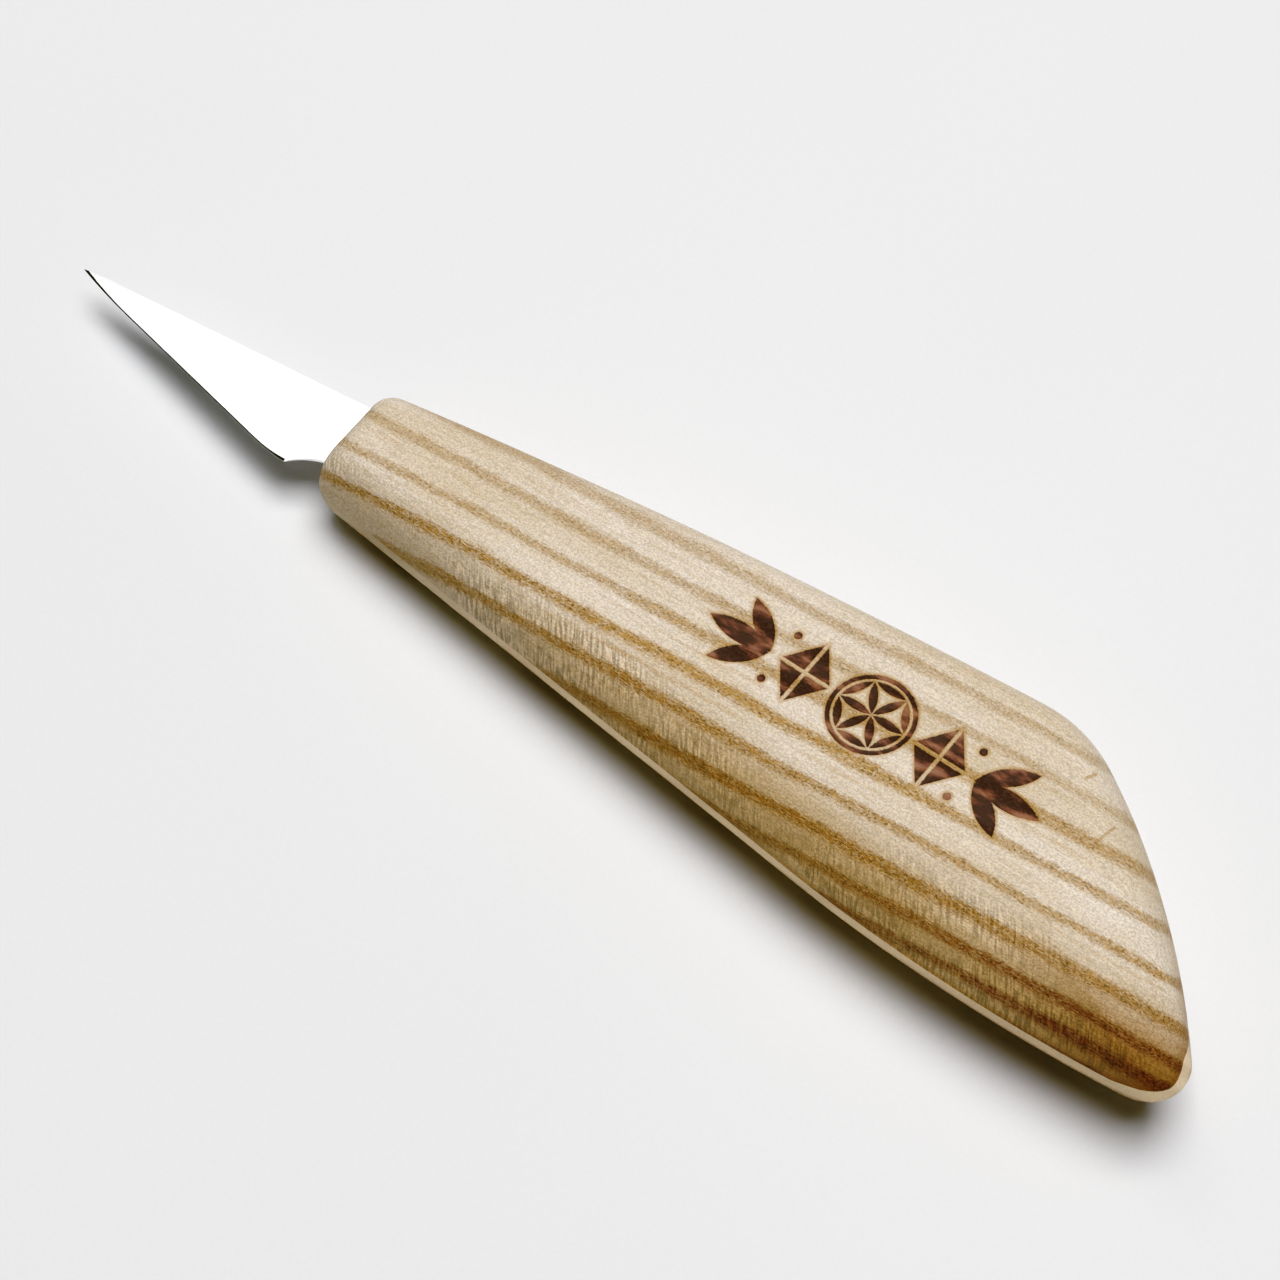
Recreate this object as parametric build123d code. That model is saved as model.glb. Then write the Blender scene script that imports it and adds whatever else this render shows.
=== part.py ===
from build123d import *
import os
from math import atan, cos, degrees, radians, sin

# Chip carving knife: one steel blade with a hidden tang, glued with epoxy into a one-piece ash handle.
#
# The parts are drawn in a working frame and placed at the end. In the working frame +X runs along the knife
# to the tip, x = 0 is the front face of the handle, +Y is the side of the cutting edge, and z = 0 is the
# mid plane of the blade. Placed, the knife lies on the flat underside of its handle on z = 0, with the
# origin at the bottom centre of the whole knife. All sizes are in millimetres.

# ---- handle ----
handle_length = 118.5       # front face to the end of the butt
front_thickness = 13.4      # between the two flat faces, at the front
butt_thickness = 20.6       # between the two flat faces, at the end of the butt

# The handle has five sides, counter-clockwise from the front: front, fore belly, rear belly, butt and back.
# Each corner below ends its side and starts the next one. They are given twice: on the waist, which is the
# widest outline, in the mid plane, and on the two flat faces, which are smaller all round.
waist_corners = [(0, 5.3), (-91.7, 15.4), (-121.7, 12.7), (-89.7, -18.2), (0, -9.1)]
face_corners = [(-3.8, 1.2), (-80.0, 4.5), (-103.0, 3.2), (-86.5, -12.6), (-3.8, -4.3)]
side_bulges = [0, 0, 0, 2.7, 1.2]             # how far each side bows outward at its middle
waist_radii = [3.0, 200.0, 4.0, 16.0, 2.5]    # rounding of the corners, in the same order
face_radii = [3.0, 200.0, 7.0, 12.0, 2.5]

arris_share = 0.12          # share of the way in that is a plain slope, which leaves an arris at the waist
level_angles = [0, 20, 40, 60, 75, 90]        # levels of the round-over: 0 is the waist, 90 the flat face

# ---- blade ----
tip = (41.8, -2.95)
spine_root = (0.0, -6.9)
spine_bend = (36.0, -3.65)  # where the straight spine starts to drop to the tip
spine_bow = 0.10            # bow of that last stretch
edge_end = (33.0, -0.76)    # the straight part of the cutting edge ends here, and the tip's belly starts
edge_start = (9.4, 3.85)    # the straight part starts here, after the rounded heel
heel = (4.7, 4.3)
choil_end = (0.4, 1.5)
choil_depth = 0.42          # hollow of the choil

spine_thickness = 1.6       # full thickness of the stock, kept at the root of the spine
edge_overrun = 0.7          # the two flat grinds would meet this far outside the straight edge
bevel_angle = 12.0          # of each sharpening bevel to the mid plane
edge_land = 0.04            # what the sharpening leaves standing at the very edge

# ---- tang, and its slot in the handle ----
tang_length = 60.0
tang_end_back = -5.2        # y of the tang's two corners at its end
tang_end_front = -0.4
tang_corner = 1.2
grind_run_in = 4.0          # the flat grind runs this far into the handle, then the stock is full thickness
glue_gap = 0.3              # epoxy on every side of the tang

room = 2 * handle_length    # generous size for the cutting shapes


def mixed(waist, face, share):
    """A number or a point that lies `share` of the way from the waist to the flat face."""
    return waist + (face - waist) * share


def level_outline(angle):
    """The handle's outline on one level of the round-over.

    The sides draw in along a quarter ellipse, and a small part of the way along a straight slope.
    """
    level = radians(angle)
    share = (1 - arris_share) * (1 - cos(level)) + arris_share * sin(level)
    corners = [mixed(Vector(*w), Vector(*f), share) for w, f in zip(waist_corners, face_corners)]
    radii = [mixed(w, f, share) for w, f in zip(waist_radii, face_radii)]
    sides = []
    for number, bulge in enumerate(side_bulges):
        start, end = corners[number - 1], corners[number]
        sides.append(SagittaArc(start, end, -bulge) if bulge else Line(start, end))
    outline = make_face(sides)
    for corner, radius in zip(corners, radii):
        outline = fillet(outline.vertices().sort_by_distance(corner)[0], radius)
    return outline


def handle_block():
    """The handle without its slot: two mirrored halves that meet in the arris at the waist.

    The levels fan out from the hinge, the line ahead of the knife where the two flat faces would meet.
    """
    levels = [level_outline(angle).rotate(hinge, flare_angle * sin(radians(angle))) for angle in level_angles]
    upper = loft(levels)
    return upper + mirror(upper, Plane.XY)


def cutting_edge():
    """The tip's belly, the straight edge and the rounded heel, in plan, from the tip back."""
    run = Vector(*edge_end) - Vector(*edge_start)
    return [
        TangentArc(edge_end, tip, tangent=run),
        Line(edge_end, edge_start),
        TangentArc(edge_start, heel, tangent=-run),
    ]


def blade_outline():
    """The blade and its tang in plan."""
    tang_back = (-tang_length, tang_end_back)
    tang_front = (-tang_length, tang_end_front)
    others = [
        SagittaArc(heel, choil_end, choil_depth),
        Line(choil_end, tang_front),
        Line(tang_front, tang_back),
        Line(tang_back, spine_root),
        Line(spine_root, spine_bend),
        SagittaArc(spine_bend, tip, -spine_bow),
    ]
    outline = make_face(cutting_edge() + others)
    return fillet(outline.vertices().sort_by(Axis.X)[:2], tang_corner)


def flat_grind():
    """What the grinding takes off the upper side: all that is above one flat face, ahead of its run-in."""
    start, end = Vector(*edge_start), Vector(*edge_end)
    along = (end - start).normalized()
    inward = along.rotate(Axis.Z, -90)
    foot = start - inward * edge_overrun
    reach = (Vector(*spine_root) - foot).dot(inward)
    tilt = degrees(atan(spine_thickness / 2 / reach))
    normal = Vector(0, 0, 1).rotate(Axis((0, 0, 0), along), -tilt)
    ground = Plane(foot, along, normal) * Box(room, room, room, align=(Align.CENTER, Align.CENTER, Align.MIN))
    ahead = Pos(-grind_run_in, 0, 0) * Box(room, room, room, align=(Align.MIN, Align.CENTER, Align.CENTER))
    return ground & ahead


def sharpening():
    """What the sharpening takes off both sides: a slope that follows the edge from the heel to the tip."""
    edge = cutting_edge()
    beyond_tip = Vector(*tip) + (edge[0] % 1) * handle_length
    behind_heel = Vector(*heel) + (edge[2] % 1) * handle_length
    far_back = behind_heel - Vector(0, handle_length, 0)
    far_front = beyond_tip - Vector(0, handle_length, 0)
    outer = Polyline(tip, beyond_tip, far_front, far_back, behind_heel, heel)
    sheet = make_face(edge + [outer])
    land = extrude(sheet, edge_land / 2, both=True)
    slope = Pos(0, 0, -edge_land / 2) * sheet
    slope = extrude(slope, spine_thickness / 2, dir=(0, 0, -1), taper=90 - bevel_angle)
    kept = land + slope + mirror(slope, Plane.XY)
    ahead_of_heel = Pos(heel[0], 0, 0) * Box(handle_length, handle_length, spine_thickness,
                                             align=(Align.MIN, Align.CENTER, Align.CENTER))
    return ahead_of_heel - kept


def make_blade():
    """Ground flat on both sides from the spine to the edge, then sharpened."""
    stock = extrude(blade_outline(), spine_thickness / 2, both=True)
    grind = flat_grind()
    return stock - grind - mirror(grind, Plane.XY) - sharpening()


# ---- the pieces, in the working frame ----
flare = (butt_thickness - front_thickness) / 2 / handle_length
flare_angle = degrees(atan(flare))
hinge = Axis((front_thickness / 2 / flare, 0, 0), (0, 1, 0))

block = handle_block()
slot = extrude(offset(blade_outline(), glue_gap), spine_thickness / 2 + glue_gap, both=True)
blade = make_blade()
pieces = {"blade": blade, "handle": block - slot, "epoxy_bond": (block & slot) - blade}

# ---- placing: the knife tilts onto its flat underside, and is centred over the origin ----
tilted = {name: piece.rotate(hinge, flare_angle) for name, piece in pieces.items()}
whole = (tilted["handle"] + tilted["blade"]).bounding_box()
to_origin = Pos(-whole.center().X, -whole.center().Y, -whole.min.Z)

os.makedirs("parts", exist_ok=True)
for name, piece in tilted.items():
    export_step(to_origin * piece, f"parts/{name}.step")
    print(name, len(piece.solids()), "solid,", round(piece.volume, 1), "mm3")
print("size", whole.size, "moved by", to_origin.position)
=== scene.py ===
import math

import bpy
import numpy as np
from mathutils import Matrix, Vector


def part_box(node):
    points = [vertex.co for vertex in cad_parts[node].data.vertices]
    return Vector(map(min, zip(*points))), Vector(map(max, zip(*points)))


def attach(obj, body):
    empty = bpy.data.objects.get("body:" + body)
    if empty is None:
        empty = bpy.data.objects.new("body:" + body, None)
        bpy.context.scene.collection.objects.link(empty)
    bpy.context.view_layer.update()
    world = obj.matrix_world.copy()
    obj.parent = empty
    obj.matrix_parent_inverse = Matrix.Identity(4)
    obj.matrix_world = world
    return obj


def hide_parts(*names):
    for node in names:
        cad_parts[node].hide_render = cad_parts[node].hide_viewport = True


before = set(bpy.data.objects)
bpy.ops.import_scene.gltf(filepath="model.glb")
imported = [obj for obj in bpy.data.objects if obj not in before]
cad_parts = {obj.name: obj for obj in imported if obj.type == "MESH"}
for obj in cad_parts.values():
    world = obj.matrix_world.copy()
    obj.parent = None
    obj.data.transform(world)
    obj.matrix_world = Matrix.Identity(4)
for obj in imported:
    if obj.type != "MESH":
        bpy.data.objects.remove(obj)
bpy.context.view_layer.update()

MM = 0.001

# ---- handle outline, in millimetres, in the knife's working frame ----
# +X runs to the tip with x = 0 at the handle's front face, +Y is the side of the cutting edge and z = 0 is
# the mid plane. Corner i ends side i: front, fore belly, rear belly, butt, back. The waist is the widest
# outline, and the flat faces above and below it are smaller all round.
WAIST_CORNERS = [(0, 5.3), (-91.7, 15.4), (-121.7, 12.7), (-89.7, -18.2), (0, -9.1)]
FACE_CORNERS = [(-3.8, 1.2), (-80.0, 4.5), (-103.0, 3.2), (-86.5, -12.6), (-3.8, -4.3)]
SIDE_BULGES = [0, 0, 0, 2.7, 1.2]
WAIST_RADII = [3.0, 200.0, 4.0, 16.0, 2.5]
FACE_RADII = [3.0, 200.0, 7.0, 12.0, 2.5]
ARRIS_SHARE_ABOVE = 0.12    # how crisp the arris at the waist is: the slope with which each half leaves it
ARRIS_SHARE_BELOW = 0.02
ARC_SOLVER_STEPS = 12       # more than enough to place a corner's arc exactly
HANDLE_LENGTH = 118.5
FRONT_THICKNESS = 13.4
BUTT_THICKNESS = 20.6
FLARE = (BUTT_THICKNESS - FRONT_THICKNESS) / 2 / HANDLE_LENGTH
HINGE_X = FRONT_THICKNESS / 2 / FLARE       # where the planes of the two flat faces would meet

# The waist stands this share of the half thickness above the mid plane, and a slim flat runs all round above
# it. At the corner of the belly and the butt the flat widens into a carver's facet.
WAIST_LIFT = 0.045
FLAT_RISE = 0.010
BELLY_FACET_RISE = 0.085
BUTT_FACET_RISE = 0.235
CORNER_CENTRE = (-73.0, 8.5)    # millimetres in the row frame: the facet fans out round this point

# ---- slot for the tang: its plan, from 1 mm outside the front face, and half its height ----
SLOT_PLAN = [(1.0, -7.1), (1.0, 2.3), (0.0, 1.75), (-60.3, -0.1), (-60.3, -5.5), (0.0, -7.2)]
SLOT_HALF_HEIGHT = 1.1

# ---- hand sanding: how far the surface lies under the ideal shape, in millimetres ----
SANDED_OFF = 0.035
SANDING_RIPPLE = 0.03
UNTOUCHED_HEIGHT = 0.02     # what rests on the floor isn't sanded

# ---- handle mesh density ----
CORNER_STEPS = 40           # points round each corner and along each side of an outline
LENGTH_SAMPLES = 400
ROUND_OVER_RINGS = 26
SHARE_STEPS = 80
LONG_COUNT = 290            # faces along the belly and along the back
END_COUNT = 84              # faces across the front and along the butt

# ---- burned ornament on the upper face ----
ORNAMENT_CENTRE = (-32.3, -1.5)     # millimetres in the row frame
ORNAMENT_TURN = -1.5                # degrees
ORNAMENT_DEPTH = 0.16
ORNAMENT_WALL = 0.11                # half the width of the recess's sloping wall
ORNAMENT_HALF_LENGTH = 22.0
ORNAMENT_CROWDING = 3.0             # how many times as dense the mesh is beside the ornament


# =====================================================================================================
# Formulas that work both on numpy arrays and on shader fields
# =====================================================================================================
class Field:
    """A number that varies over a surface: an output of a shader node, with ordinary arithmetic."""
    tree = None

    def __init__(self, socket):
        self.socket = socket

    def __add__(self, other):
        return calc("ADD", self, other)

    def __radd__(self, other):
        return calc("ADD", other, self)

    def __sub__(self, other):
        return calc("SUBTRACT", self, other)

    def __rsub__(self, other):
        return calc("SUBTRACT", other, self)

    def __mul__(self, other):
        return calc("MULTIPLY", self, other)

    def __rmul__(self, other):
        return calc("MULTIPLY", other, self)

    def __truediv__(self, other):
        return calc("DIVIDE", self, other)


def node(kind, inputs=None, **settings):
    """Adds a node to the current tree. An input may be a number, a tuple, or a field to link."""
    made = Field.tree.nodes.new(kind)
    for name, value in settings.items():
        setattr(made, name, value)
    for name, value in (inputs or {}).items():
        if isinstance(value, Field):
            Field.tree.links.new(value.socket, made.inputs[name])
        else:
            made.inputs[name].default_value = value
    return made


def calc(operation, *values):
    return Field(node("ShaderNodeMath", dict(enumerate(values)), operation=operation).outputs[0])


NUMPY_CALLS = {
    "ABSOLUTE": np.abs, "MINIMUM": np.minimum, "MAXIMUM": np.maximum, "SQRT": np.sqrt,
    "SINE": np.sin, "COSINE": np.cos, "ARCTAN2": np.arctan2, "FLOORED_MODULO": np.mod,
}


def apply(operation, *values):
    """The same operation on fields or on arrays."""
    if any(isinstance(value, Field) for value in values):
        return calc(operation, *values)
    return NUMPY_CALLS[operation](*values)


def size_of(value):
    return apply("ABSOLUTE", value)


def distance(u, v):
    return apply("SQRT", u * u + v * v)


def smooth_step(value, low, high):
    """0 at low and 1 at high, with a soft start and end. High may be less than low."""
    share = apply("MAXIMUM", apply("MINIMUM", (value - low) / (high - low), 1.0), 0.0)
    return share * share * (3.0 - 2.0 * share)


def joined(*fields):
    """The union of shapes given as signed distances."""
    result = fields[0]
    for field in fields[1:]:
        result = apply("MINIMUM", result, field)
    return result


def leaf(u, v, half_length, half_width):
    """A pointed leaf along u: the overlap of two circles."""
    offset = (half_length ** 2 - half_width ** 2) / (2 * half_width)
    return distance(u, size_of(v) + offset) - (offset + half_width)


def turned(u, v, degrees, from_u=0.0):
    """The same point in axes turned about (from_u, 0)."""
    angle = math.radians(degrees)
    right = u - from_u
    return right * math.cos(angle) + v * math.sin(angle), v * math.cos(angle) - right * math.sin(angle)


def rosette(u, v, radius):
    """Six petals round a centre and six more from tip to tip, as drawn with a pair of compasses."""
    sixth = math.pi / 3
    angle = apply("ARCTAN2", v, u) + (3 * math.pi + sixth / 2)
    folded = size_of(apply("FLOORED_MODULO", angle, sixth) - sixth / 2)
    reach = distance(u, v)
    along = reach * apply("COSINE", folded)
    aside = reach * apply("SINE", folded)
    petal = distance(along - radius / 2, aside + radius * math.sin(sixth)) - radius
    chord_u, chord_v = turned(along, aside, 30.0)
    chord_u = chord_u - radius * math.cos(sixth / 2)
    rim = leaf(chord_v, chord_u, half_length=radius * 0.46, half_width=radius * 0.115)
    return joined(petal + 0.04, rim)


def split_lozenge(u, v, half_length, half_width, gap):
    """A lozenge cut by a cross into four small triangles."""
    slant = math.hypot(half_length, half_width)
    edge = (size_of(u) * half_width + size_of(v) * half_length - half_length * half_width) / slant
    cross = gap / 2 - apply("MINIMUM", size_of(u), size_of(v))
    return apply("MAXIMUM", edge, cross)


def fan(u, v, root, spread):
    """Three leaves that open from one point on the u axis."""
    middle = leaf(u - root - 4.1, v, half_length=4.1, half_width=1.25)
    side_u, side_v = turned(u, size_of(v), spread, root)
    return joined(middle, leaf(side_u - 3.6, side_v, half_length=3.4, half_width=1.1))


def ornament(u, v):
    """Signed distance, in millimetres, to the burned ornament: negative inside it."""
    mirrored = size_of(u)
    ring = size_of(distance(u, v) - 4.65) - 0.28
    dot = distance(mirrored - 12.0, size_of(v) - 3.3) - 0.48
    return joined(
        rosette(u, v, radius=4.15),
        ring,
        split_lozenge(mirrored - 8.7, v, half_length=3.25, half_width=4.4, gap=0.44),
        fan(mirrored, v, root=13.1, spread=40.0),
        dot,
    )


def ornament_axes(x, y):
    """Row frame millimetres to the ornament's own axes."""
    turn = math.radians(ORNAMENT_TURN)
    right, up = x - ORNAMENT_CENTRE[0], y - ORNAMENT_CENTRE[1]
    return right * math.cos(turn) + up * math.sin(turn), up * math.cos(turn) - right * math.sin(turn)


# =====================================================================================================
# Handle mesh
# =====================================================================================================
def side_shape(start, end, bulge):
    """A side as (start, end, centre, radius): centre is None where the side is straight."""
    if bulge == 0:
        return start, end, None, 0.0
    chord = end - start
    half = np.linalg.norm(chord) / 2
    radius = (half * half + bulge * bulge) / (2 * bulge)
    inward = np.array([-chord[1], chord[0]]) / (2 * half)
    return start, end, (start + end) / 2 + inward * (radius - bulge), radius


def depth_inside(side, point):
    """How far a point lies inside one side, and the inward direction there."""
    start, end, centre, radius = side
    if centre is None:
        chord = (end - start) / np.linalg.norm(end - start)
        inward = np.array([-chord[1], chord[0]])
        return (point - start) @ inward, inward
    away = centre - point
    reach = np.linalg.norm(away)
    return radius - reach, away / reach


def corner_arc(before, after, radius):
    """Centre and the two touching points of the rounding between two sides."""
    centre = before[1] + (depth_inside(before, before[1])[1] + depth_inside(after, before[1])[1]) * radius / 2
    for _ in range(ARC_SOLVER_STEPS):
        depth_a, inward_a = depth_inside(before, centre)
        depth_b, inward_b = depth_inside(after, centre)
        centre = centre + np.linalg.solve([inward_a, inward_b], [radius - depth_a, radius - depth_b])
    return centre, centre - inward_a * radius, centre - inward_b * radius


def arc_points(centre, start, end):
    """Points from start to end, counter-clockwise round a centre, both ends included."""
    first = math.atan2(*(start - centre)[::-1])
    sweep = (math.atan2(*(end - centre)[::-1]) - first) % (2 * math.pi)
    angles = first + np.linspace(0, sweep, CORNER_STEPS)
    reach = np.linalg.norm(start - centre)
    return centre + reach * np.stack([np.cos(angles), np.sin(angles)], axis=1)


def outline_stretches(share):
    """The outline at one share of the way in, as four stretches: front, belly, butt and back.

    They meet at the middles of the rounded corners.
    """
    waist, face = np.array(WAIST_CORNERS, float), np.array(FACE_CORNERS, float)
    corners = waist + (face - waist) * share
    radii = np.array(WAIST_RADII) + (np.array(FACE_RADII) - np.array(WAIST_RADII)) * share
    sides = [side_shape(corners[i - 1], corners[i], bulge) for i, bulge in enumerate(SIDE_BULGES)]
    arcs = [corner_arc(sides[i], sides[(i + 1) % 5], radii[i]) for i in range(5)]
    rounded = [arc_points(*arc) for arc in arcs]
    along = []
    for i, side in enumerate(sides):
        start, end = arcs[i - 1][2], arcs[i][1]
        if side[2] is None:
            along.append(start + (end - start) * np.linspace(0, 1, CORNER_STEPS)[:, None])
        else:
            along.append(arc_points(side[2], start, end))
    half = CORNER_STEPS // 2
    front = np.concatenate([rounded[4][half:], along[0], rounded[0][:half + 1]])
    belly = np.concatenate([rounded[0][half:], along[1], rounded[1], along[2], rounded[2][:half + 1]])
    butt = np.concatenate([rounded[2][half:], along[3], rounded[3][:half + 1]])
    back = np.concatenate([rounded[3][half:], along[4], rounded[4][:half + 1]])
    return front, belly, butt, back


def resampled(points, shares):
    """Points at given shares of a polyline's length."""
    steps = np.linalg.norm(np.diff(points, axis=0), axis=1)
    keep = np.concatenate([[True], steps > 1e-9])
    points = points[keep]
    length = np.concatenate([[0], np.cumsum(np.linalg.norm(np.diff(points, axis=0), axis=1))])
    at = np.asarray(shares) * length[-1]
    return np.stack([np.interp(at, length, points[:, k]) for k in range(2)], axis=1)


def long_shares(stretch):
    """Shares along the belly or the back, packed closer beside the ornament."""
    even = np.linspace(0, 1, LENGTH_SAMPLES)
    x = resampled(stretch, even)[:, 0]
    local = ORNAMENT_CENTRE[0] - placing_shift[0]
    weight = np.where(np.abs(x - local) < ORNAMENT_HALF_LENGTH + 2, ORNAMENT_CROWDING, 1.0)
    reach = np.concatenate([[0], np.cumsum((weight[1:] + weight[:-1]) / 2)])
    return np.interp(np.linspace(0, 1, LONG_COUNT + 1), reach / reach[-1], even)


def outline_loop(share):
    """One closed ring of the mesh: front, belly, butt and back, without repeating the corners."""
    front, belly, butt, back = outline_stretches(share)
    ends = np.linspace(0, 1, END_COUNT + 1)
    return np.concatenate([
        resampled(front, ends)[:-1],
        resampled(belly, long_shares(belly))[:-1],
        resampled(butt, ends)[:-1],
        resampled(back, long_shares(back))[:-1],
    ])


def face_grid(loop):
    """Fills a ring with a grid that blends its four stretches (a Coons patch)."""
    first, second, third = END_COUNT, END_COUNT + LONG_COUNT, 2 * END_COUNT + LONG_COUNT
    closed = np.concatenate([loop, loop[:1]])
    front, belly = closed[:first + 1], closed[first:second + 1]
    butt, back = closed[second:third + 1][::-1], closed[third:][::-1]
    v = np.linspace(0, 1, END_COUNT + 1)[None, :, None]
    u = np.linspace(0, 1, LONG_COUNT + 1)[:, None, None]
    grid = (1 - v) * back[:, None] + v * belly[:, None] + (1 - u) * front[None] + u * butt[None]
    corners = ((1 - u) * (1 - v) * front[0] + (1 - u) * v * front[-1]
               + u * (1 - v) * butt[0] + u * v * butt[-1])
    return grid - corners


def flat_rise(x, y):
    """How far the flat's upper edge stands above the waist at a place in the row frame.

    It is a share of the half thickness.
    """
    right, up = x - CORNER_CENTRE[0], y - CORNER_CENTRE[1]
    bearing = apply("ARCTAN2", up, right * -1.0) * (180 / math.pi)
    near = smooth_step(distance(right, up), 12.0, 8.5)
    belly = smooth_step(bearing, 88.0, 52.0) * smooth_step(bearing, -60.0, -20.0) * BELLY_FACET_RISE
    butt = smooth_step(bearing, 37.0, 12.0) * smooth_step(bearing, -60.0, -20.0)
    return (belly + butt * (BUTT_FACET_RISE - BELLY_FACET_RISE)) * near + FLAT_RISE


def lifted(points, level):
    """Plan points on one level of the fan: 0 is the mid plane, and 1 and -1 are the flat faces."""
    angle = math.atan(FLARE) * level
    run = points[:, 0] - HINGE_X
    return np.stack([HINGE_X + run * np.cos(angle), points[:, 1], -run * np.sin(angle)], axis=1)


def section_ring(loops, angle, side):
    """One ring of the handle, above (side 1) or below (side -1) the waist.

    The angle may differ from column to column: it is 0 at the waist and 90 degrees at the flat face.
    """
    crisp = ARRIS_SHARE_ABOVE if side > 0 else ARRIS_SHARE_BELOW
    share = np.clip((1 - crisp) * (1 - np.cos(angle)) + crisp * np.sin(angle), 0, 1)
    at = share * SHARE_STEPS
    lower = np.minimum(at.astype(int), SHARE_STEPS - 1)
    column = np.arange(len(angle))
    between = (at - lower)[:, None]
    plan = loops[lower, column] * (1 - between) + loops[lower + 1, column] * between
    return lifted(plan, WAIST_LIFT + (side - WAIST_LIFT) * np.sin(angle))


def handle_arrays():
    """The handle without its slot: vertices in the working frame, quads, and the rings with a crisp edge."""
    around = 2 * (LONG_COUNT + END_COUNT)
    vertices, quads = [], []

    def add(points):
        start = sum(len(part) for part in vertices)
        vertices.append(points)
        return start

    loops = np.stack([outline_loop(share) for share in np.linspace(0, 1, SHARE_STEPS + 1)])
    rise = flat_rise(loops[0][:, 0] + placing_shift[0], loops[0][:, 1] + placing_shift[1])
    flat_angle = np.arcsin(rise / (1 - WAIST_LIFT))
    waist = add(section_ring(loops, np.zeros(around), 1))
    flat_edge = add(section_ring(loops, flat_angle, 1))
    ring = np.arange(around)
    after = (ring + 1) % around
    quads.append(np.stack([waist + ring, waist + after, flat_edge + after, flat_edge + ring], axis=1))
    for side, start, first_angle in ((1, flat_edge, flat_angle), (-1, waist, np.zeros(around))):
        below = start + ring
        for step in range(1, ROUND_OVER_RINGS + 1):
            angle = first_angle + (math.pi / 2 - first_angle) * step / ROUND_OVER_RINGS
            above = add(section_ring(loops, angle, side)) + ring
            quads.append(np.stack([below, below[after], above[after], above], axis=1)[:, ::side])
            below = above
        grid = face_grid(loops[-1])
        number = np.full(grid.shape[:2], -1)
        number[0, :] = below[:END_COUNT + 1]
        number[:, -1] = below[END_COUNT:END_COUNT + LONG_COUNT + 1]
        number[-1, ::-1] = below[END_COUNT + LONG_COUNT:2 * END_COUNT + LONG_COUNT + 1]
        number[::-1, 0] = np.append(below[2 * END_COUNT + LONG_COUNT:], below[0])
        inner = number < 0
        start = add(lifted(grid[inner], side))
        number[inner] = start + np.arange(inner.sum())
        cells = np.stack([number[:-1, :-1], number[:-1, 1:], number[1:, 1:], number[1:, :-1]], axis=-1)
        quads.append(cells.reshape(-1, 4)[:, ::side])
    return np.concatenate(vertices), np.concatenate(quads), (waist + ring, flat_edge + ring)


def placed(points, shift):
    """Working frame to row frame: the knife tilts onto its flat underside, and is shifted over the origin."""
    angle = math.atan(FLARE)
    run, height = points[:, 0] - HINGE_X, points[:, 2]
    tilted = np.stack([
        HINGE_X + run * math.cos(angle) + height * math.sin(angle),
        points[:, 1],
        -run * math.sin(angle) + height * math.cos(angle),
    ], axis=1)
    return tilted + shift


def shift_to_frame():
    """The shift that brings the widest outline's extent onto the CAD handle's box."""
    low, high = (np.array(corner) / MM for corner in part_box("handle"))
    ring = placed(lifted(np.concatenate(outline_stretches(0.0)), 0.0), 0.0)
    return np.array([*((low + high) / 2 - (ring.min(0) + ring.max(0)) / 2)[:2], 0.0])


def mesh_object(name, vertices, faces):
    mesh = bpy.data.meshes.new(name)
    mesh.from_pydata((np.asarray(vertices) * MM).tolist(), [], [list(map(int, face)) for face in faces])
    mesh.update()
    made = bpy.data.objects.new(name, mesh)
    bpy.context.scene.collection.objects.link(made)
    return made


def vertex_normals(made):
    normals = np.empty(len(made.data.vertices) * 3)
    made.data.vertices.foreach_get("normal", normals)
    return normals.reshape(-1, 3)


def hand_finish(points, normals):
    """How far the surface lies under the ideal shape, in millimetres: hand sanding and the burned recess."""
    x, y, z = points.T
    ripple = (np.sin(x / 5.1 + 1.3 * np.sin(y / 4.3)) + np.sin(x / 8.7 + y / 3.9 + 2.0)
              + np.sin(y / 2.9 - x / 12.0 + z / 3.1)) / 3
    depth = SANDED_OFF + SANDING_RIPPLE * ripple
    recess = ORNAMENT_DEPTH * smooth_step(ornament(*ornament_axes(x, y)), ORNAMENT_WALL, -ORNAMENT_WALL)
    faces_up = normals[:, 2] > 0.9
    depth[faces_up] += recess[faces_up]
    depth[z < UNTOUCHED_HEIGHT] = 0.0
    return depth


def make_handle():
    points, quads, crisp_rings = handle_arrays()
    points = placed(points, placing_shift)
    handle = mesh_object("ash_handle", points, quads)
    normals = vertex_normals(handle)
    points = points - normals * hand_finish(points, normals)[:, None]
    handle.data.vertices.foreach_set("co", (points * MM).ravel())
    handle.data.update()
    handle.data.shade_smooth()
    ring_of = np.full(len(points), -1)
    for number, ring in enumerate(crisp_rings):
        ring_of[ring] = number
    for edge in handle.data.edges:
        start, end = edge.vertices
        edge.use_edge_sharp = bool(ring_of[start] >= 0 and ring_of[start] == ring_of[end])
    cut_slot(handle)
    return handle


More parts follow.
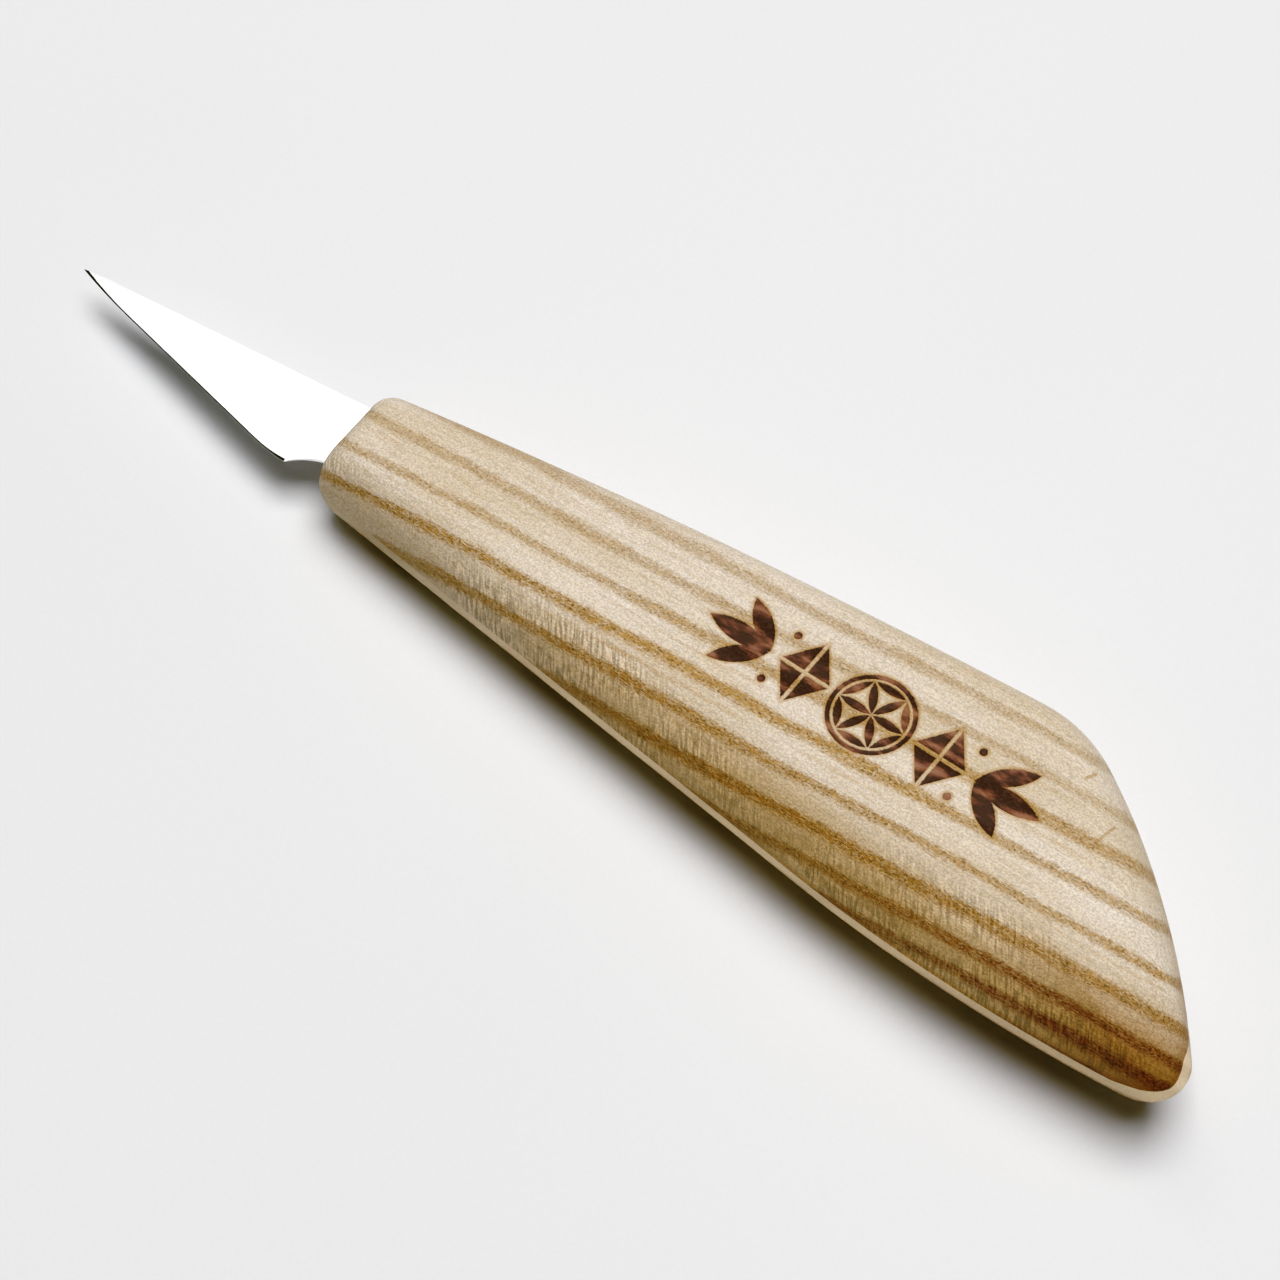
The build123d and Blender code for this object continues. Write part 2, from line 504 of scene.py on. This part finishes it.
def cut_slot(handle):
    """Cuts the tang's slot into the front of the handle."""
    count = len(SLOT_PLAN)
    low = placed(np.column_stack([SLOT_PLAN, np.full(count, -SLOT_HALF_HEIGHT)]), placing_shift)
    high = placed(np.column_stack([SLOT_PLAN, np.full(count, SLOT_HALF_HEIGHT)]), placing_shift)
    walls = [(i, (i + 1) % count, count + (i + 1) % count, count + i) for i in range(count)]
    faces = [tuple(range(count))[::-1], tuple(range(count, 2 * count))] + walls
    cutter = mesh_object("slot_cutter", np.concatenate([low, high]), faces)
    cut = handle.modifiers.new("slot", "BOOLEAN")
    cut.operation = "DIFFERENCE"
    cut.solver = "EXACT"
    cut.object = cutter
    graph = bpy.context.evaluated_depsgraph_get()
    cut_mesh = bpy.data.meshes.new_from_object(handle.evaluated_get(graph))
    handle.modifiers.clear()
    handle.data = cut_mesh
    bpy.data.objects.remove(cutter)


# =====================================================================================================
# Materials
# =====================================================================================================
def new_material(name):
    """Starts a material and makes its tree the current one. Returns it with its surface shader."""
    material = bpy.data.materials.new(name)
    material.use_nodes = True
    Field.tree = material.node_tree
    surface = next(item for item in Field.tree.nodes if item.type == "BSDF_PRINCIPLED")
    return material, surface


def link(field, surface, name):
    Field.tree.links.new(field.socket, surface.inputs[name])


def position():
    """The place on the object, in millimetres in the row frame."""
    where = node("ShaderNodeTexCoord").outputs["Object"]
    scaled = node("ShaderNodeVectorMath", {0: Field(where), "Scale": 1 / MM}, operation="SCALE")
    return Field(scaled.outputs[0])


def parts_of(vector):
    split = node("ShaderNodeSeparateXYZ", {0: vector})
    return [Field(split.outputs[i]) for i in range(3)]


def vector_of(x, y, z):
    return Field(node("ShaderNodeCombineXYZ", {0: x, 1: y, 2: z}).outputs[0])


def noise(vector, detail=2.0, roughness=0.5):
    """Noise from 0 to 1 with features about one unit of the vector in size."""
    settings = {"Vector": vector, "Scale": 1.0, "Detail": detail, "Roughness": roughness}
    return Field(node("ShaderNodeTexNoise", settings).outputs[0])


def grain_noise(place, along, across, **settings):
    """Noise stretched along the knife: features are about 1 / along millimetres long and 1 / across wide."""
    x, y, z = place
    return noise(vector_of(x * along, y * across, z * across), **settings)


def ramp(value, low, high, to_low=0.0, to_high=1.0):
    """A smooth step: to_low under low, to_high over high."""
    made = node("ShaderNodeMapRange", {0: value, 1: low, 2: high, 3: to_low, 4: to_high},
                interpolation_type="SMOOTHSTEP")
    return Field(made.outputs[0])


def mixed_colour(share, first, second, blend="MIX"):
    made = node("ShaderNodeMix", data_type="RGBA", blend_type=blend)
    for socket, value in ((made.inputs[0], share), (made.inputs[6], first), (made.inputs[7], second)):
        if isinstance(value, Field):
            Field.tree.links.new(value.socket, socket)
        else:
            socket.default_value = (*value, 1.0) if isinstance(value, tuple) else value
    return Field(made.outputs[2])


def bump(height, strength, depth):
    """A bent surface normal: depth, in metres, is the relief of a height of 1."""
    inputs = {"Height": height, "Strength": strength, "Distance": depth}
    return Field(node("ShaderNodeBump", inputs).outputs[0])


RING_TILT = math.radians(24)    # of the growth rings, from upright
RING_DRIFT = 0.0711             # the rings run slightly askew to the knife
RING_START = -5.2               # millimetres: the middle of one band of early wood
RINGS_PER_MM = 0.243
RING_CROWDING = 0.014           # how fast the rings crowd together beyond CROWDING_START
CROWDING_START = 12.0

# colours of the wood, and of painted shade and painted bounce light on it
CREAM = (0.735, 0.640, 0.520)
STRAW = (0.650, 0.535, 0.390)
OCHRE = (0.440, 0.245, 0.070)
# painted shade: the bands' colour at the butt's corner
SHADED_BAND = (0.275, 0.055, 0.020)
# painted bounce light under the arris
BOUNCE_LIGHT = (0.970, 0.770, 0.500)
# tints, which multiply the wood's colour; most of them are painted shade
FINE_LINES = (0.88, 0.83, 0.72)
# painted shade on the belly's slope
BELLY_SHADE = (0.76, 0.585, 0.33)
# painted shade just above the belly's arris
ARRIS_SHADE = (0.82, 0.64, 0.38)
# painted shade at the butt's corner; it also darkens the butt's end face
RUSSET = (0.58, 0.39, 0.20)
# darkens the front end face
FRONT_FACE_TINT = (0.62, 0.48, 0.34)
# the burned ornament
CHAR = (0.044, 0.011, 0.018)
SCORCH = (0.215, 0.072, 0.055)
BURN_RAGGEDNESS = 0.20          # millimetres
BURN_LEVEL = (11.0, 12.0)       # the ornament is only on what lies above this height, in millimetres
# nicks near the butt: start, end and half width, in millimetres in the row frame
NICKS = [((-60.2, -4.9), (-59.6, -2.3), 0.16), ((-55.2, -9.2), (-54.7, -7.9), 0.22)]


def surface_normal():
    return parts_of(Field(node("ShaderNodeTexCoord").outputs["Normal"]))


def tinted(share, colour, tint):
    """Multiplies a colour by a tint, over a share of the way."""
    return mixed_colour(share, colour, tint, blend="MULTIPLY")


def shaded(colour, factor):
    return mixed_colour(1.0, colour, vector_of(factor, factor, factor), blend="MULTIPLY")


def nick(x, y, start, end, half_width):
    """How much of a short scratch covers a place, from 0 to 1."""
    run = Vector(end) - Vector(start)
    along = ((x - start[0]) * run.x + (y - start[1]) * run.y) / run.length_squared
    along = apply("MAXIMUM", apply("MINIMUM", along, 1.0), 0.0)
    away = distance(x - start[0] - along * run.x, y - start[1] - along * run.y)
    return ramp(away, half_width * 0.4, half_width, 1.0, 0.0)


def growth_rings(place):
    """Where a place lies across the rings, the mood of its ring, and three shares from 0 to 1.

    The shares are of early wood, of a faint second band, and of the rear belly, where the bands are wider.
    """
    x, y, z = place
    wander = grain_noise(place, 0.022, 0.07) - 0.5
    tremble = grain_noise(place, 0.16, 0.6) - 0.5
    granules = grain_noise(place, 1.9, 4.2, detail=3.0, roughness=0.65)
    across = y * math.cos(RING_TILT) - z * math.sin(RING_TILT) - x * RING_DRIFT - RING_START
    across = across + wander * 1.7 + tremble * 0.7
    crowded = apply("MAXIMUM", across - CROWDING_START, 0.0)
    turns = across * RINGS_PER_MM + crowded * crowded * RING_CROWDING + 0.5
    mood = noise(vector_of(calc("FLOOR", turns) * 3.71, x * 0.011, 0.0))
    rear_belly = ramp(across, 9.0, 14.0) * ramp(x, -60.0, -10.0, 1.0, 0.0)
    offset = calc("FRACT", turns) - 0.5 + (granules - 0.5) * 0.26
    offset = offset * ramp(mood, 0.35, 0.65, 1.25, 0.80) * (1.0 - rear_belly * 0.28)
    early = ramp(offset, -0.22, -0.08) * ramp(offset, 0.02, 0.23, 1.0, 0.0)
    faint = ramp(size_of(offset - 0.36), 0.02, 0.08, 1.0, 0.0)
    faint = faint * ramp(grain_noise(place, 0.03, 0.2), 0.48, 0.62)
    return across, mood, early, faint, rear_belly


def ash_wood():
    material, surface = new_material("oiled_ash")
    place = parts_of(position())
    x, y, z = place
    normal_x, normal_y, _ = surface_normal()

    arris_slope = (flat_rise(x, y) + (1.0 + WAIST_LIFT)) * math.atan(FLARE)
    over_arris = z - (HINGE_X + placing_shift[0] - x) * arris_slope
    upper = ramp(over_arris, -0.05, 0.05)
    lean = ramp(normal_y, 0.05, 0.95)
    across, mood, early, faint, rear_belly = growth_rings(place)

    # short silvery ray flecks across the grain, where the belly's slope cuts the rays
    rays = noise(vector_of(x * 2.9 + y * 2.0, (y - z) * 0.36, 0.0), detail=1.0, roughness=0.6)
    rays = ramp(rays, 0.36, 0.64)
    fleck_zone = ramp(normal_y, 0.25, 0.55) * ramp(grain_noise(place, 0.05, 0.2), 0.35, 0.6)
    torn = early * (1.0 - rays * fleck_zone * rear_belly * 0.35)
    fleck_zone = fleck_zone * (1.0 - early * 0.6)

    # dashes, fibres, speckle, dots, clouds and fine lines, all longer along the grain than across it
    dashes = grain_noise(place, 1.3, 4.6, detail=3.0, roughness=0.65)
    fibre = grain_noise(place, 0.8, 6.5, roughness=0.6)
    speckle = grain_noise(place, 3.6, 5.0, roughness=0.7)
    dots = noise(vector_of(x * 2.6, y * 4.0, z * 4.0 + 40.0), detail=1.0)
    cloud = grain_noise(place, 0.03, 0.16)
    lines = grain_noise(place, 0.10, 3.2, roughness=0.6)

    # the wood between the bands, and the bands, which are darker near the butt's corner: painted shade there
    band_shade = ramp(across, 12.0, 17.5) * ramp(x, -66.0, -30.0, 1.0, 0.0)
    band = mixed_colour(band_shade, OCHRE, SHADED_BAND)
    ground = mixed_colour(ramp(cloud, 0.3, 0.7), CREAM, STRAW)
    strength = ramp(across, -7.0, 6.0, 0.52, 1.0) * ramp(mood, 0.35, 0.65, 0.75, 1.05)
    grain = ramp(dashes, 0.38, 0.58)
    streak = (torn * (grain * 0.50 + 0.46) + faint * 0.30) * strength
    wood = mixed_colour(calc("MINIMUM", streak, 1.0), ground, band)
    wood = mixed_colour(torn * ramp(dots, 0.55, 0.68) * strength * 0.8, wood, shaded(band, 0.48))
    wood = mixed_colour(ramp(dashes, 0.60, 0.70) * 0.25, wood, OCHRE)
    wood = shaded(wood, ramp(fibre, 0.25, 0.75, 0.93, 1.06) * ramp(speckle, 0.36, 0.64, 0.80, 1.17))
    wood = tinted(ramp(lines, 0.42, 0.68) * 0.7, wood, FINE_LINES)
    wood = shaded(wood, 1.0 + (rays - 0.5) * fleck_zone * 0.62)

    # painted shade: the wood is darkened on the belly's slope, at the butt's corner and just above the
    # belly's arris, where it turns away from the light; both end faces are tinted darker
    # painted shade: the belly's slope, which faces away from the light, is darker towards the butt
    rear = ramp(x, -22.0, 28.0, 1.0, 0.25)
    wood = tinted(lean * rear * 0.85, wood, BELLY_SHADE)
    # painted shade at the butt's corner, on the upper half
    butt_corner_shade = ramp(x, -79.0, -54.0, 1.0, 0.0) * ramp(across, 9.0, 17.0) * upper
    wood = tinted(butt_corner_shade, wood, RUSSET)
    # painted shade: a dark line just above the belly's arris, towards the butt
    arris_shade = ramp(over_arris, 0.1, 1.3, 1.0, 0.0) * upper * ramp(normal_y, 0.0, 0.6)
    wood = tinted(arris_shade * ramp(x, -45.0, 0.0, 0.9, 0.0), wood, ARRIS_SHADE)
    # the butt's end face, on the upper half, is tinted darker with the same tint
    rim = ramp(normal_x, -0.80, -0.60, 1.0, 0.0) * upper
    wood = tinted(rim * 0.5, wood, RUSSET)
    # the front end face is tinted darker
    wood = tinted(ramp(normal_x, 0.78, 0.94) * 0.9, wood, FRONT_FACE_TINT)

    # painted bounce light: a pale strip just under the arris along the belly and the butt, where the surface
    # faces the lit floor; it is dimmed towards the front, which is painted shade
    under = ramp(normal_y - normal_x, 0.2, 0.6) * (1.0 - upper) * ramp(over_arris, -3.6, -1.4)
    bounce_strip = shaded(BOUNCE_LIGHT, ramp(speckle, 0.3, 0.7, 0.94, 1.05) * ramp(x, -4.0, 34.0, 1.0, 0.60))
    wood = mixed_colour(under * 0.85, wood, bounce_strip)

    # the burned ornament with its scorched halo, and the nicks
    edge = ornament(*ornament_axes(x, y))
    edge = edge + (noise(vector_of(x * 2.2, y * 3.5, 0.0)) - 0.5) * BURN_RAGGEDNESS
    top_side = ramp(z, *BURN_LEVEL)
    burned = ramp(edge, -0.08, 0.05, 1.0, 0.0) * top_side
    halo = ramp(edge, 0.0, 0.45, 0.6, 0.0) * top_side
    heat = noise(vector_of(x * 0.30, y * 0.75, 0.0), detail=3.0) + early * 0.14
    char = mixed_colour(ramp(heat, 0.38, 0.58), SCORCH, CHAR)
    wood = mixed_colour(halo, wood, OCHRE)
    wood = mixed_colour(burned * ramp(heat, 0.30, 0.48, 0.72, 0.97), wood, char)
    first_nick, second_nick = (nick(x, y, *place_and_size) for place_and_size in NICKS)
    nicks = (first_nick + second_nick) * top_side
    wood = mixed_colour(nicks * 0.55, wood, OCHRE)

    link(wood, surface, "Base Color")
    link(ramp(speckle, 0.3, 0.7, 0.52, 0.64), surface, "Roughness")
    surface.inputs["Specular IOR Level"].default_value = 0.32
    relief = fibre * 0.35 + speckle * 0.35 - grain * (early * 0.8 + 0.2) - nicks * 1.5
    link(bump(relief, 0.6, 0.00009), surface, "Normal")
    return material


STEEL_BRIGHT = (0.88, 0.885, 0.89)
STEEL_DULL = (0.85, 0.855, 0.86)
AMBER_PALE = (0.30, 0.17, 0.055)
AMBER_DARK = (0.19, 0.095, 0.03)
BUBBLE = (0.50, 0.36, 0.18)
FLOOR_GREY = (0.80, 0.80, 0.80)


def polished_steel():
    """Satin flats with lengthwise scratches, and a smoother sharpening bevel."""
    material, surface = new_material("polished_steel")
    place = parts_of(position())
    _, normal_y, _ = surface_normal()
    scratches = grain_noise(place, 0.10, 16.0, detail=3.0, roughness=0.7)
    smudges = grain_noise(place, 0.30, 0.55, detail=3.0)
    bevel = ramp(size_of(normal_y), 0.10, 0.16)
    surface.inputs["Metallic"].default_value = 1.0
    link(mixed_colour(ramp(smudges, 0.35, 0.75), STEEL_BRIGHT, STEEL_DULL), surface, "Base Color")
    satin = ramp(smudges, 0.3, 0.7, 0.29, 0.34) + scratches * 0.05
    link(satin * (1.0 - bevel * 0.8), surface, "Roughness")
    link(bump(scratches, 0.25, 0.00002), surface, "Normal")
    return material


def cured_epoxy():
    material, surface = new_material("cured_epoxy")
    place = parts_of(position())
    clouds = grain_noise(place, 1.1, 1.1, detail=3.0)
    bubbles = grain_noise(place, 6.0, 6.0, detail=1.0)
    amber = mixed_colour(ramp(clouds, 0.3, 0.7), AMBER_PALE, AMBER_DARK)
    link(mixed_colour(ramp(bubbles, 0.66, 0.74), amber, BUBBLE), surface, "Base Color")
    link(ramp(clouds, 0.3, 0.7, 0.22, 0.36), surface, "Roughness")
    link(bump(bubbles, 0.3, 0.00005), surface, "Normal")
    return material


def pale_floor():
    material, surface = new_material("pale_floor")
    x, y, z = parts_of(position())
    tooth = noise(vector_of(x * 2.0, y * 2.0, z), detail=3.0)
    cloud = noise(vector_of(x * 0.01, y * 0.01, z))
    tone = ramp(tooth, 0.3, 0.7, 0.985, 1.0) * ramp(cloud, 0.3, 0.7, 0.985, 1.0)
    link(shaded(FLOOR_GREY, tone), surface, "Base Color")
    surface.inputs["Roughness"].default_value = 0.7
    surface.inputs["Specular IOR Level"].default_value = 0.2
    return material


def dress(made, material):
    made.data.materials.clear()
    made.data.materials.append(material)


# =====================================================================================================
# Camera, light and floor
# =====================================================================================================
CAMERA_TARGET = Vector((-4.44, 1.78, 9.0)) * MM
CAMERA_HEADING = math.radians(36.7)     # between the knife and the camera's level axis
CAMERA_ELEVATION = math.radians(60.0)
CAMERA_DISTANCE = 350.5 * MM
CAMERA_LENS = 90.0
SENSOR_WIDTH = 36.0

WALL_STRENGTH = 0.16
CEILING_STRENGTH = 0.02
WALL_FADE = (0.12, 0.40)    # heights of a direction, of at most 1: the walls darken between them
# the film: what comes out for what comes in, first in all colours and then in blue
TOE = [(0.05, 0.023), (0.12, 0.086), (0.25, 0.225), (0.45, 0.445)]
BLUE_TOE = [(0.02, 0.007), (0.05, 0.027), (0.085, 0.062), (0.12, 0.103), (0.25, 0.247)]
FLOOR_HALF_WIDTH = 3000.0   # millimetres
LIGHT_DISTANCE = 1.5        # metres
# name, degrees from overhead to the right and away from the camera, half size in degrees both ways, radiance
LIGHTS = [
    ("key", 6.0, 5.0, 17.0, 19.0, 8.5),
    ("blade_panel", -16.5, 33.0, 7.0, 9.0, 2.2),
]

level_right = Vector((-math.cos(CAMERA_HEADING), -math.sin(CAMERA_HEADING), 0.0))
level_away = Vector((math.sin(CAMERA_HEADING), -math.cos(CAMERA_HEADING), 0.0))
upright = Vector((0.0, 0.0, 1.0))


def looking(location, right, up):
    """A placement at location whose own axes are right, up, and towards the viewer."""
    matrix = Matrix((right, up, right.cross(up))).transposed().to_4x4()
    matrix.translation = location
    return matrix


def make_camera():
    data = bpy.data.cameras.new("camera")
    data.lens = CAMERA_LENS
    data.sensor_width = SENSOR_WIDTH
    data.clip_start = 0.01
    camera = bpy.data.objects.new("camera", data)
    bpy.context.scene.collection.objects.link(camera)
    forward = level_away * math.cos(CAMERA_ELEVATION) - upright * math.sin(CAMERA_ELEVATION)
    up = level_away * math.sin(CAMERA_ELEVATION) + upright * math.cos(CAMERA_ELEVATION)
    camera.matrix_world = looking(CAMERA_TARGET - forward * CAMERA_DISTANCE, level_right, up)
    bpy.context.scene.camera = camera


def softbox(name, right, away, half_right, half_away, radiance):
    """A rectangular light that faces the knife."""
    across, along = math.radians(right), math.radians(away)
    towards = (level_right * math.tan(across) + level_away * math.tan(along) + upright).normalized()
    data = bpy.data.lights.new(name, "AREA")
    data.shape = "RECTANGLE"
    data.size = 2 * LIGHT_DISTANCE * math.tan(math.radians(half_right))
    data.size_y = 2 * LIGHT_DISTANCE * math.tan(math.radians(half_away))
    data.energy = radiance * math.pi * data.size * data.size_y
    light = bpy.data.objects.new(name, data)
    bpy.context.scene.collection.objects.link(light)
    side = (level_right - towards * level_right.dot(towards)).normalized()
    light.matrix_world = looking(towards * LIGHT_DISTANCE, side, towards.cross(side))


def make_world():
    """A dim room, lighter low down, so that steel seen from the side has walls to reflect."""
    world = bpy.data.worlds.new("studio")
    bpy.context.scene.world = world
    world.use_nodes = True
    Field.tree = world.node_tree
    background = next(item for item in world.node_tree.nodes if item.type == "BACKGROUND")
    background.inputs["Color"].default_value = (1.0, 1.0, 1.0, 1.0)
    height = parts_of(Field(node("ShaderNodeTexCoord").outputs["Generated"]))[2]
    link(ramp(height, *WALL_FADE, WALL_STRENGTH, CEILING_STRENGTH), background, "Strength")


def set_film():
    """Plain colour with a short toe, which deepens the shadows as a small camera does."""
    settings = bpy.context.scene.view_settings
    settings.view_transform = "Standard"
    settings.use_curve_mapping = True
    blue, all_colours = settings.curve_mapping.curves[2:4]
    for curve, points in ((all_colours, TOE), (blue, BLUE_TOE)):
        for light_in, light_out in points:
            curve.points.new(light_in, light_out)
    settings.curve_mapping.update()


def make_floor():
    half = FLOOR_HALF_WIDTH
    corners = [(-half, -half, 0), (half, -half, 0), (half, half, 0), (-half, half, 0)]
    floor = mesh_object("floor", corners, [(0, 1, 2, 3)])
    dress(floor, pale_floor())


# =====================================================================================================
# Assembly
# =====================================================================================================
placing_shift = shift_to_frame()    # from the working frame, once it is tilted, to the row frame

make_camera()
make_floor()
make_world()
for light in LIGHTS:
    softbox(*light)
set_film()

handle = make_handle()
dress(handle, ash_wood())
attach(handle, "root")
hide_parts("handle")

dress(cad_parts["blade"], polished_steel())
dress(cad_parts["epoxy_bond"], cured_epoxy())
